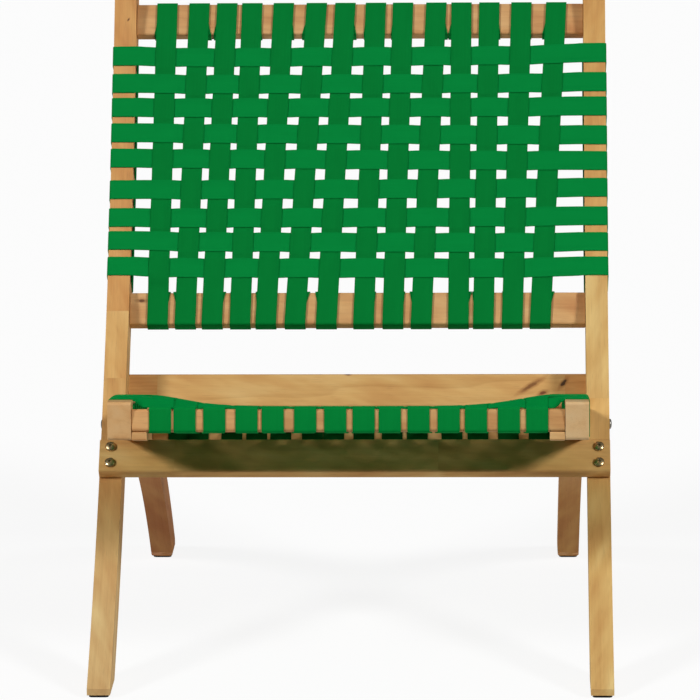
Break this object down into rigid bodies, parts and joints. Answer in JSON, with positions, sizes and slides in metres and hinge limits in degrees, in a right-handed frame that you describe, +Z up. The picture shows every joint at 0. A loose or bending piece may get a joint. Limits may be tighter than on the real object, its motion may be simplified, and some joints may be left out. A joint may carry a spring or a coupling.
{
  "type": "folding lounge chair",
  "caption": "Low folding lounge chair with crossed bent-wood frames, bolted at the side pivots, and a woven webbing seat and back.",
  "frame": {"origin": "on the floor under the middle of the bounding box, with the chair open", "axes": "+Z up, -Y towards where the sitter faces, +X to the sitter's left"},
  "size_m": [0.6162, 0.7742, 0.749],
  "materials": {
    "timber": "oiled hardwood, satin",
    "pale_timber": "oiled hardwood, satin",
    "steel": "zinc plated",
    "black_plastic": "matte",
    "green_webbing": "flat woven polyester"
  },
  "bodies": {
    "back_frame": {"stile_right": "timber", "stile_left": "timber", "back_bottom_rail": "timber", "back_top_rail": "timber", "front_apron": "timber", "rear_board": "timber", "apron_bolt_right_lower": "steel", "apron_bolt_right_upper": "steel", "apron_bolt_left_lower": "steel", "apron_bolt_left_upper": "steel", "rear_board_bolt_right_lower": "steel", "rear_board_bolt_right_upper": "steel", "rear_board_bolt_left_lower": "steel", "rear_board_bolt_left_upper": "steel", "pivot_bolt_right": "steel", "pivot_bolt_left": "steel", "pivot_washer_right": "steel", "pivot_washer_left": "steel", "pivot_nut_right": "steel", "pivot_nut_left": "steel", "front_glide_right": "black_plastic", "front_glide_left": "black_plastic", "back_webbing": "green_webbing"},
    "seat_frame": {"seat_rail_right": "pale_timber", "seat_rail_left": "pale_timber", "seat_rear_rail": "pale_timber", "seat_front_rail": "pale_timber", "seat_corner_block_right": "pale_timber", "seat_corner_block_left": "pale_timber", "rear_glide_right": "black_plastic", "rear_glide_left": "black_plastic", "seat_webbing": "green_webbing"}
  },
  "joints": [
    {"name": "seat_fold", "type": "hinge", "parent": "back_frame", "child": "seat_frame", "pos_m": [0, -0.05018, 0.257], "axis": [-1, 0, 0], "range_deg": [0, 97]}
  ]
}
